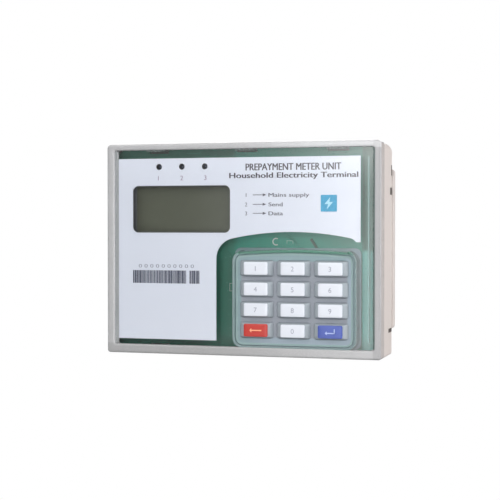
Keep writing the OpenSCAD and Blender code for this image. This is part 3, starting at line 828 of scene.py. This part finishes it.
dress("lcd_glass", display())
dress("lcd_backlight", diffuser_finish)
dress("status_leds", lens())
dress("lcd_connector", seal_finish)
sleeve_outer, sleeve_inner, sleeve_front = 2.1, 1.53, 3.3
sleeves = []
for x in light_xs:
    wide, narrow = arc(x, lights.z, sleeve_outer, 0, 345, 23), arc(x, lights.z, sleeve_inner, 0, 345, 23)
    foot = board.d0 - 0.02
    sleeves.append([(wide, foot), (wide, sleeve_front + 0.2), (wide, sleeve_front),
                    (narrow, sleeve_front), (narrow, foot)])
shown("light_spacers", lofted("light_spacers", *sleeves, loop=True), dark_finish, "case")

# %% The display's frame
corner_cut = (13.5, 4.3)
frame_outline = arc(bezel.x1 - 1, bezel.z1 - 1, 1, 0, 90, 4) + arc(bezel.x0 + 1, bezel.z1 - 1, 1, 90, 180, 4)
frame_outline += arc(bezel.x0 + 1, bezel.z0 + 1, 1, 180, 270, 4)
frame_outline += [(bezel.x1 - corner_cut[0], bezel.z0), (bezel.x1, bezel.z0 + corner_cut[1])]
lip = (glass.x0 + 2.5, glass.x1 - 2.5, glass.z0 + 2.7, glass.z1 - 2.7)
frame_lip = plate("display_lip", [frame_outline, inset(lip, 0, 0.6, 4)], bezel.d0, glass.d0 - 0.02, 0.2)
seat = (glass.x0, glass.x1, glass.z0, glass.z1)
seat_outline = inset(seat, -0.1, 0.4, 4)
frame_body = plate("display_body", [frame_outline, seat_outline], glass.d0 - 0.03, bezel.d1, 0.01, 0)
both = bmesh.new()
for part in (frame_lip, frame_body):
    both.from_mesh(part)
frame_finish = moulded("display_frame", (0.13, 0.132, 0.142), rough=0.42, dirt=0.02)
shown("display_frame", to_mesh("display_frame", both), frame_finish, "case", ["lcd_bezel"])

# %% [markdown]
# ## The circuit board
# The green is a see-through lacquer over glass cloth and copper. Copper tracks under the lacquer make a
# lighter, slightly raised green, and the cloth gives a fine weave. The board node keeps its shape, and
# the tracks, the through-holes and the white marks are thin pieces on its face.
# Light and shade are painted into the green: above the keypad and beside the label, where light reaches
# the board past the label, it is painted lighter as painted light, and a paler band beside the label is
# a painted highlight. Where these lighter areas lie is a guess.


# %% Board lacquer
def lacquer(name, dark, light, lit_above_tone=None, pale=None):
    """Green lacquer from dark to light. The next tone, if given, is painted light on the board above the
    keypad, and pale is painted light beside the label, with a brighter band of painted highlight along it.
    """
    finish = Finish(name)
    x, z = finish.axis("X"), finish.axis("Z")
    weave = finish.wave(x, 0.3) * finish.wave(z, 0.3)
    cloud = finish.noise(14, 4)
    tone = finish.mix(dark, light, cloud * 0.7 + weave * 0.3)
    if lit_above_tone:
        # painted light: lighter green above the keypad, where light reaches the board past the label
        plane = finish.step(x, mat.x0 - 3, mat.x0 + 3) * finish.step(z, mat.z1 - 6, mat.z1 - 2)
        tone = finish.mix(tone, lit_above_tone, plane * (1 - finish.step(x, label.x1 - 1, label.x1)))
        # painted light: lighter green beside the label, only below the keypad's top, where the label casts no
        # shadow
        right = finish.step(x, label.x1 - 1, label.x1)
        tone = finish.mix(tone, pale, right * (1 - finish.step(z, mat.z1 - 3, mat.z1)))
        # painted highlight: a brighter band along the label's right edge
        highlight_band = finish.step(x, label.x1, label.x1 + 1) * (1 - finish.step(x, label.x1 + 3.3, label.x1 + 4.1))
        highlight_tone = tuple(min(1, c + 0.12) for c in pale)
        tone = finish.mix(tone, highlight_tone, highlight_band * (1 - finish.step(z, mat.z1 - 3, mat.z1)))
    finish.set(Base_Color=tone, IOR=1.52)
    finish.set(Roughness=0.3 + weave * 0.08 + finish.noise(3, 3) * 0.12)
    finish.set(Normal=finish.bump(weave * 0.6 + cloud * 0.4, 0.012), Coat_Weight=0.2, Coat_Roughness=0.15)
    return finish


# painted light: the lighter greens that the board and its tracks take above the keypad and beside the label
lit_board_tone, lit_strip_tone = (0.018, 0.30, 0.215), (0.06, 0.42, 0.355)
board_finish = lacquer("circuit_board", (0.013, 0.15, 0.097), (0.022, 0.20, 0.135), lit_board_tone, lit_strip_tone)
lit_track_tone, lit_track_strip_tone = (0.03, 0.34, 0.245), (0.08, 0.46, 0.40)
track_finish = lacquer("covered_copper", (0.02, 0.22, 0.15), (0.04, 0.28, 0.19), lit_track_tone, lit_track_strip_tone)
dress("main_pcb", board_finish)


def metal(name, tone, rough, brushed=(1, 1, 1)):
    """Bare or plated metal with fine tool marks and a little tarnish."""
    finish = Finish(name)
    marks = finish.noise(0.5, 4, brushed)
    tarnish = finish.noise(3, 3)
    finish.set(Metallic=1.0, Base_Color=finish.mix(tuple(c * 0.75 for c in tone), tone, tarnish))
    finish.set(Roughness=rough + marks * 0.15, Normal=finish.bump(marks, 0.004))
    return finish


steel_finish = metal("screw_steel", (0.56, 0.56, 0.58), 0.3)
can_finish = metal("can_metal", (0.72, 0.73, 0.74), 0.25, (1, 6, 1))
tin_finish = lacquer("tented_holes", (0.05, 0.25, 0.18), (0.08, 0.31, 0.22))
silk_finish = ink("board_marking", (0.6, 0.65, 0.62))


# %% Tracks, through-holes and marks on the board
def strip(path, wide, height, front):
    """The rings of a flat track along a path of points, one solid for each straight stretch."""
    solids = []
    for (xa, za), (xb, zb) in zip(path, path[1:]):
        long = math.hypot(xb - xa, zb - za)
        ux, uz = (xb - xa) / long, (zb - za) / long
        half = wide / 2
        corners = [(xa - ux * half + uz * half, za - uz * half - ux * half),
                   (xb + ux * half + uz * half, zb + uz * half - ux * half),
                   (xb + ux * half - uz * half, zb + uz * half + ux * half),
                   (xa - ux * half - uz * half, za - uz * half + ux * half)]
        solids.append([(corners, front - height), (corners, front)])
    return solids


track_solids, pad_solids, mark_solids = [], [], []
dice = random.Random(5)
copper = 0.035
for i in range(9):
    z = 8.0 - i * 0.85
    bend = 6 + i * 1.1 + dice.uniform(0, 2)
    left = -9 + i * 0.7
    path = [(left, z - 9), (left, z - 3), (left + 3, z)]
    path += [(bend + 14, z), (bend + 16, z - 2), (bend + 32, z - 2)]
    track_solids += strip(path, 0.32, copper, board.d0)
for i in range(16):
    x = -66 + i * 8.6 + dice.uniform(-1, 1)
    for low, high in ((47.6, 51.2), (-50.4, -47.6)):
        run = dice.uniform(3, 7)
        z = dice.uniform(low, high - 0.6)
        track_solids += strip([(x, z), (x + run, z), (x + run + 0.8, z + 0.8)], 0.3, copper, board.d0)
for i in range(5):
    x = 62.6 + i * 1.3
    path = [(x, -44 + i), (x, 20 + i * 2), (x - 3, 23 + i * 2), (x - 3, 44)]
    track_solids += strip(path, 0.3, copper, board.d0)
for i in range(20):
    span_x, span_z = ((-11, -5), (-48, -4)) if i % 2 else ((-4, 58), (1, 5))
    x = dice.uniform(*span_x)
    z = dice.uniform(*span_z)
    ring = arc(x, z, 0.3, 0, 330, 11)
    pad_solids.append([(ring, board.d0 - copper - 0.01), (ring, board.d0)])
shown("board_tracks", lofted("board_tracks", *track_solids), track_finish, "case")
shown("board_pads", lofted("board_pads", *pad_solids), tin_finish, "case")

# %% The open ring mark and the small part beside the arch
def ring_mark(x, z, radius, wide, start, end):
    """A flat open ring, as one outline."""
    outer_arc = arc(x, z, radius + wide / 2, start, end, 18)
    inner_arc = arc(x, z, radius - wide / 2, end, start, 18)
    outline = outer_arc + inner_arc
    return [(outline, board.d0 - 0.05), (outline, board.d0)]


mark_solids.append(ring_mark(16.6, 3.9, 1.7, 0.6, 60, 300))
for x, z, wide, tall in ((24, 3.6, 3.2, 1.6), (-7.5, -20, 2.0, 4.0)):
    frame_path = [(x - wide / 2, z - tall / 2), (x + wide / 2, z - tall / 2), (x + wide / 2, z + tall / 2),
                  (x - wide / 2, z + tall / 2), (x - wide / 2, z - tall / 2)]
    mark_solids += strip(frame_path, 0.16, 0.03, board.d0)
shown("board_marks", lofted("board_marks", *mark_solids), silk_finish, "case")
slant = strip([(35.6, 4.8), (38.6, 0.4)], 1.3, 0.7, board.d0)
link_finish = lacquer("coated_link", (0.02, 0.085, 0.06), (0.03, 0.11, 0.08))
shown("board_link", lofted("board_link", *slant), link_finish, "case")
print("tracks:", len(track_solids), "pads:", len(pad_solids))

# %% [markdown]
# ## The silicone keypad
# One soft moulding carries twelve keys. Silicone takes a satin, slightly dusty skin and lets a little
# light through, so the mat looks grey-blue and takes a green cast from the board. The mat is painted
# lighter low on its left and along its right side, as painted light. The body is a plate with a hole for
# each key, rounded everywhere, with a raised bead along its edge.


# %% Silicone finish
def silicone(name, deep, pale, channel=None, rough=0.5):
    """Satin silicone with a fine dusty skin. A channel tone, if given, fills the field between the keys, and
    the mat is then painted lighter low on its left and along its right side, as painted light.
    """
    finish = Finish(name)
    cloud = finish.noise(9, 3)
    skin = finish.noise(0.22, 2)
    dust = finish.step(finish.noise(2.4, 5), 0.55, 0.8)
    tone = finish.mix(deep, pale, cloud)
    if channel:
        x, z = finish.axis("X"), finish.axis("Z")
        # painted light: a lighter tone low on the left of the mat and along its right side
        foot = tuple(c + more for c, more in zip(pale, (0.06, 0.035, 0.075)))
        low = (1 - finish.step(z, mat.z0 + 2, mat.z1 - 4)) * finish.step(x, mat.x0 + 4, mat.x0 + 20)
        tone = finish.mix(tone, foot, low + finish.step(x, mat.x1 - 9, mat.x1 - 4) * 0.7)
        across = finish.step(x, field[0], field[0] + 1) * (1 - finish.step(x, field[1] - 1, field[1]))
        upright = finish.step(z, field[2], field[2] + 1) * (1 - finish.step(z, field[3] - 1, field[3]))
        tone = finish.mix(tone, channel, across * upright)
    finish.set(Base_Color=finish.mix(tone, (0.6, 0.62, 0.63), dust * 0.1), IOR=1.41)
    finish.set(Roughness=rough + skin * 0.1 + dust * 0.1, Normal=finish.bump(skin, 0.006))
    finish.set(Sheen_Weight=0.08, Sheen_Roughness=0.4)
    return finish


corner_low, corner_high = Edges("cap_clear"), Edges("cap_3")
field = (corner_low.x0 - 2.6, corner_high.x1 + 2.6, corner_low.z0 - 0.8, corner_high.z1 + 0.8)
mat_finish = silicone("keypad_silicone", (0.245, 0.345, 0.37), (0.285, 0.385, 0.41), (0.30, 0.325, 0.37))
key_finish = silicone("key_silicone", (0.345, 0.385, 0.425), (0.395, 0.44, 0.48))
bead_finish = silicone("bead_silicone", (0.27, 0.385, 0.385), (0.32, 0.44, 0.435))

# %% The mat
KEYS = [str(i) for i in range(1, 10)] + ["clear", "0", "enter"]
cap_edges = {key: Edges("cap_" + key) for key in KEYS}
key_w = 17.5
key_h = 7.97
hole_gap = 0.18
key_radius = 1.2
block_swell = 0.12


def key_outline(key, by_x=0.0, by_z=0.0, radius=key_radius):
    """The outline of a key's block, by_x and by_z millimetres inside it."""
    x, z = cap_edges[key].x, cap_edges[key].z
    half_x, half_z = key_w / 2 - by_x, key_h / 2 - by_z
    return rounded(x - half_x, x + half_x, z - half_z, z + half_z, radius, 4)


mat_front, mat_back = 1.4, 8.6
flange_front, flange_back = 8.85, 9.9
mat_holes = [key_outline(key, -hole_gap, -hole_gap, key_radius + hole_gap) for key in KEYS]
mat_mesh = plate("keypad_web", [keypad_outline(0.0), *mat_holes], mat_front, mat_back, 0.16, 2)
shown("keypad_web", mat_mesh, mat_finish, "case", ["keypad_mat"])
bead_rings = [(keypad_outline(-0.05), mat_front + 0.35), (keypad_outline(-0.25), mat_front - 0.1),
              (keypad_outline(-0.7), mat_front - 0.2), (keypad_outline(-1.15), mat_front - 0.1),
              (keypad_outline(-1.4), mat_front + 0.3)]
shown("keypad_bead", lofted("keypad_bead", bead_rings, loop=True), bead_finish, "case")
flange = rounded(mat.x0, mat.x1, mat.z0, mat.z1, 3, 6)
flange_mesh = plate("keypad_flange", [flange, *mat_holes], flange_front, flange_back, 0.08, 1)
shown("keypad_flange", flange_mesh, mat_finish, "case")

# %% [markdown]
# Each key is a drafted silicone block with a rounded brow, and carries a hard printed cap with a soft
# crown. Both ride on that key's own body, so that they move when the key is pressed.


# %% Key caps
def hard_cap(name, tone, deep, rough=0.3):
    """Glossy printed cap, with fine wipe marks."""
    finish = Finish(name)
    cloud = finish.noise(5, 3)
    wipes = finish.noise(1.0, 3, (0.2, 1, 1))
    finish.set(Base_Color=finish.mix(deep, tone, cloud), IOR=1.48)
    finish.set(Roughness=rough + wipes * 0.12, Coat_Weight=0.3, Coat_Roughness=0.12)
    finish.set(Normal=finish.bump(wipes, 0.004))
    return finish


cap_finishes = {"cap_white": hard_cap("cap_white", (0.80, 0.835, 0.91), (0.765, 0.80, 0.87)),
                "cap_red": hard_cap("cap_red", (0.60, 0.045, 0.032), (0.52, 0.035, 0.026)),
                "cap_blue": hard_cap("cap_blue", (0.085, 0.135, 0.50), (0.065, 0.105, 0.42))}
legend_ink = ink("key_ink", (0.36, 0.38, 0.46))
warm_ink = ink("warm_ink", (0.95, 0.45, 0.25))
cool_ink = ink("cool_ink", (0.45, 0.55, 0.85))
cap_radius = 0.8


def key_block(key):
    """The silicone block of a key, wide at its brow and rounded over."""
    face = cap_edges[key].d1
    brow = [(0.1, 0.02, 1.15), (0.38, 0.13, 0.75), (0.7, 0.24, 0.35), (1.1, 0.35, 0.0), (1.6, 0.46, -0.3),
            (2.1, 0.56, -0.5), (2.6, 0.8, face)]
    wide = key_outline(key, -block_swell, -block_swell, key_radius + block_swell)
    rings = [(key_outline(key, 0.1, 0.1), 8.3), (wide, 6.5), (wide, 1.45)]
    rings += [(key_outline(key, by_x, by_z), depth) for by_x, by_z, depth in brow]
    mesh = lofted("keypad_block_" + key, rings)
    shown("keypad_block_" + key, mesh, key_finish, "keybody_" + key, ["key_" + key])


def cap_crown(key):
    """The printed cap of a key: straight sides, a rounded brow and a low crown."""
    c = cap_edges[key]
    box = (c.x0, c.x1, c.z0, c.z1)
    deep, top = c.d1 + 0.25, c.d0 + INK * 1.4
    rings = [(inset(box, 0.0, cap_radius), deep), (inset(box, 0.0, cap_radius), top + 0.42),
             (inset(box, 0.1, cap_radius), top + 0.22), (inset(box, 0.35, cap_radius), top + 0.1),
             (inset(box, 1.2, 1.2), top + 0.03), (inset(box, 2.2, 2.2), top)]
    slot = {"clear": "cap_red", "enter": "cap_blue"}.get(key, "cap_white")
    mesh = lofted("keypad_cap_" + key, rings)
    shown("keypad_cap_" + key, mesh, cap_finishes[slot], "keybody_" + key, ["cap_" + key])


for key in KEYS:
    key_block(key)
    cap_crown(key)


# %% Key legends
def arrow_outline(x, z, long, head, shaft):
    """An arrow to the left, as one outline."""
    return [(x - long / 2, z), (x - long / 2 + head, z + head), (x - long / 2 + head, z + shaft),
            (x + long / 2, z + shaft), (x + long / 2, z - shaft), (x - long / 2 + head, z - shaft),
            (x - long / 2 + head, z - head)]


digit = 2.6
for key in KEYS:
    c = cap_edges[key]
    body = "keybody_" + key
    sunk = c.d0 + INK * 0.9
    if key == "clear":
        outline = arrow_outline(c.x, c.z, 6.4, 1.1, 0.3)
        rings = [(outline, sunk - INK / 2), (outline, sunk + INK)]
        shown("legend_clear", lofted("legend_clear", rings), warm_ink, body)
    elif key == "enter":
        outline = arrow_outline(c.x, c.z - 0.6, 5.2, 1.0, 0.28)
        near, far, foot, top = c.x + 2.04, c.x + 2.6, c.z - 0.9, c.z + 1.5
        riser = [(near, foot), (far, foot), (far, top), (near, top)]
        solids = [[(o, sunk - INK / 2), (o, sunk + INK)] for o in (outline, riser)]
        shown("legend_enter", lofted("legend_enter", *solids), cool_ink, body)
    else:
        base = c.z - digit / 2
        words("legend_" + key, key, c.x, None, base, digit, legend_ink, 0.0, sunk, body)
print("keys:", len(KEYS), "legend pieces:", len([n for n in made_pieces if n.startswith("legend")]))


# %% [markdown]
# ## The parts inside
# Most of them only show when the case is opened or through the wiring window. Each keeps its shape and
# gets the finish of its own stuff: plated cans, printed sleeves, black epoxy, wound tape.

# %% Inner parts by material slot
def tape():
    """Yellow winding tape, with a fine helical rib."""
    finish = Finish("coil_wrap")
    turns = finish.wave(finish.axis("X"), 0.5)
    cloud = finish.noise(4, 3)
    finish.set(Base_Color=finish.mix((0.55, 0.36, 0.05), (0.7, 0.5, 0.1), turns * 0.5 + cloud * 0.5))
    finish.set(Roughness=0.4 + cloud * 0.15, Normal=finish.bump(turns, 0.05))
    return finish


carbon_finish = moulded("carbon", (0.012, 0.012, 0.012), rough=0.7, grain=0.08, grain_depth=0.004)
slot_finishes = {
    "seal_rubber": seal_finish, "screw_steel": steel_finish, "dark_plastic": dark_finish,
    "diffuser": diffuser_finish, "contact_rubber": seal_finish, "chip_epoxy": epoxy_finish,
    "can_metal": can_finish, "chip_ceramic": ceramic_finish, "sleeve_plastic": sleeve_finish,
    "coil_wrap": tape(), "carbon": carbon_finish, "terminal_plastic": terminal_finish,
    "circuit_board": board_finish, "case_plastic": case_finish, "bracket_plastic": bracket_finish,
}
dressed = 0
for node, holder in sorted(frame["nodes"].items()):
    if holder.hide_render:
        continue
    for place, old in enumerate(holder.data.materials):
        slot = old.name.split(".")[0]
        if slot in slot_finishes:
            holder.data.materials[place] = slot_finishes[slot].material
            dressed += 1
print("dressed slots:", dressed)

# %% [markdown]
# ## Floor, light and camera
# The unit is shown as a product picture: white all round, soft light from the upper left, and a light
# card whose mirror image brightens the clear pane towards the right. The floor lies well below, because
# the unit hangs.

# %% Studio
def glow(name, strength, tone=(1, 1, 1)):
    finish = Finish(name)
    lamp = finish.tree.nodes.new("ShaderNodeEmission")
    lamp.inputs[0].default_value = (*tone, 1)
    lamp.inputs[1].default_value = strength
    finish.tree.links.new(lamp.outputs[0], finish.out.inputs[0])
    return finish, lamp


def stage_sheet(name, corners, finish):
    bm = bmesh.new()
    bm.faces.new([bm.verts.new(corner) for corner in corners])
    mesh = bpy.data.meshes.new(name)
    bm.to_mesh(mesh)
    bm.free()
    mesh.materials.append(finish.material)
    sheet = bpy.data.objects.new(name, mesh)
    bpy.context.scene.collection.objects.link(sheet)
    return sheet


floor_z = -0.32
reach = 3.0
floor_finish, _ = glow("floor_white", 1.0)
floor = stage_sheet("floor", [(-reach, -reach, floor_z), (reach, -reach, floor_z), (reach, reach, floor_z),
                              (-reach, reach, floor_z)], floor_finish)
floor.visible_diffuse = False
floor.visible_glossy = False
floor.visible_shadow = False

world = bpy.data.worlds.new("studio")
bpy.context.scene.world = world
world.use_nodes = True
sky = world.node_tree.nodes["Background"]
path = world.node_tree.nodes.new("ShaderNodeLightPath")
level = world.node_tree.nodes.new("ShaderNodeMapRange")
room_light = 0.22
level.inputs["To Min"].default_value = room_light
level.inputs["To Max"].default_value = 1.0
world.node_tree.links.new(path.outputs["Is Camera Ray"], level.inputs["Value"])
world.node_tree.links.new(level.outputs[0], sky.inputs["Strength"])
sky.inputs["Color"].default_value = (1, 1, 1, 1)


def softbox(name, place, target, size, power, tone=(1, 1, 1)):
    lamp = bpy.data.lights.new(name, "AREA")
    lamp.shape = "RECTANGLE"
    lamp.size, lamp.size_y = size
    lamp.energy = power
    lamp.color = tone
    holder = bpy.data.objects.new(name, lamp)
    holder.location = place
    holder.rotation_euler = (Vector(target) - Vector(place)).to_track_quat("-Z", "Y").to_euler()
    bpy.context.scene.collection.objects.link(holder)
    return holder


centre = (0, 0, 0)
softbox("key_box", (-0.55, -0.75, 0.75), centre, size=(0.6, 0.6), power=3.5, tone=(1, 0.995, 0.985))
front_box = softbox("front_box", (0.34, -0.42, 0.16), (0.03, 0, 0), size=(0.3, 0.3), power=0.95)
front_box.visible_glossy = False
softbox("right_box", (0.95, -0.12, 0.2), (0.05, 0, 0), size=(0.5, 0.6), power=6.1, tone=(1, 0.985, 0.98))
softbox("low_box", (0.1, -0.9, -0.35), centre, size=(0.9, 0.4), power=2.1)
softbox("back_box", (-0.35, 0.95, 0.45), centre, size=(0.8, 0.6), power=5.0)

# %% The light card
card_finish, card_lamp = glow("card_white", 3.0)
card_x = card_finish.axis("X")
card_low, card_high = -330.0, -40.0
rise = card_finish.node("MapRange", {}, {"Value": card_x, "From Min": card_low, "From Max": card_high})
crown = card_finish.step(card_finish.axis("Z"), 45, 95)
sill = 1 - card_finish.step(card_finish.axis("Z"), -115, -80)
ramp = rise ** 3.0 * 2.65 * (crown * 0.5 + 1)
card_finish.feed(card_lamp.inputs[1], ramp + crown * 0.5 + sill * 0.25 + 0.03)
card_y, card_right, card_half = -0.655, 0.06, 0.35
card_left = card_low * MM
card_corners = [(card_left, card_y, -card_half), (card_right, card_y, -card_half),
                (card_right, card_y, card_half), (card_left, card_y, card_half)]
card = stage_sheet("light_card", card_corners, card_finish)
card.visible_camera = False

# %% Camera
camera = bpy.data.cameras.new("camera")
camera.sensor_width = 36
camera.lens = 90.4
camera.clip_start = 0.01
camera_holder = bpy.data.objects.new("camera", camera)
turn, dip = math.radians(16.406), math.radians(1.213)
sight = Vector((-math.sin(turn) * math.cos(dip), math.cos(turn) * math.cos(dip), -math.sin(dip)))
camera_holder.location = (0.1872, -0.6529, 0.01335)
camera_holder.rotation_mode = "QUATERNION"
camera_holder.rotation_quaternion = sight.to_track_quat("-Z", "Y")
bpy.context.scene.collection.objects.link(camera_holder)
bpy.context.scene.camera = camera_holder
bpy.context.scene.view_settings.view_transform = "Standard"

# %% [markdown]
# ## Last counts
# The looks must not change the size of the unit. The number of pieces made and their faces is printed.

# %% Piece count
print("pieces made:", len(made_pieces), "faces:", sum(made_pieces.values()))
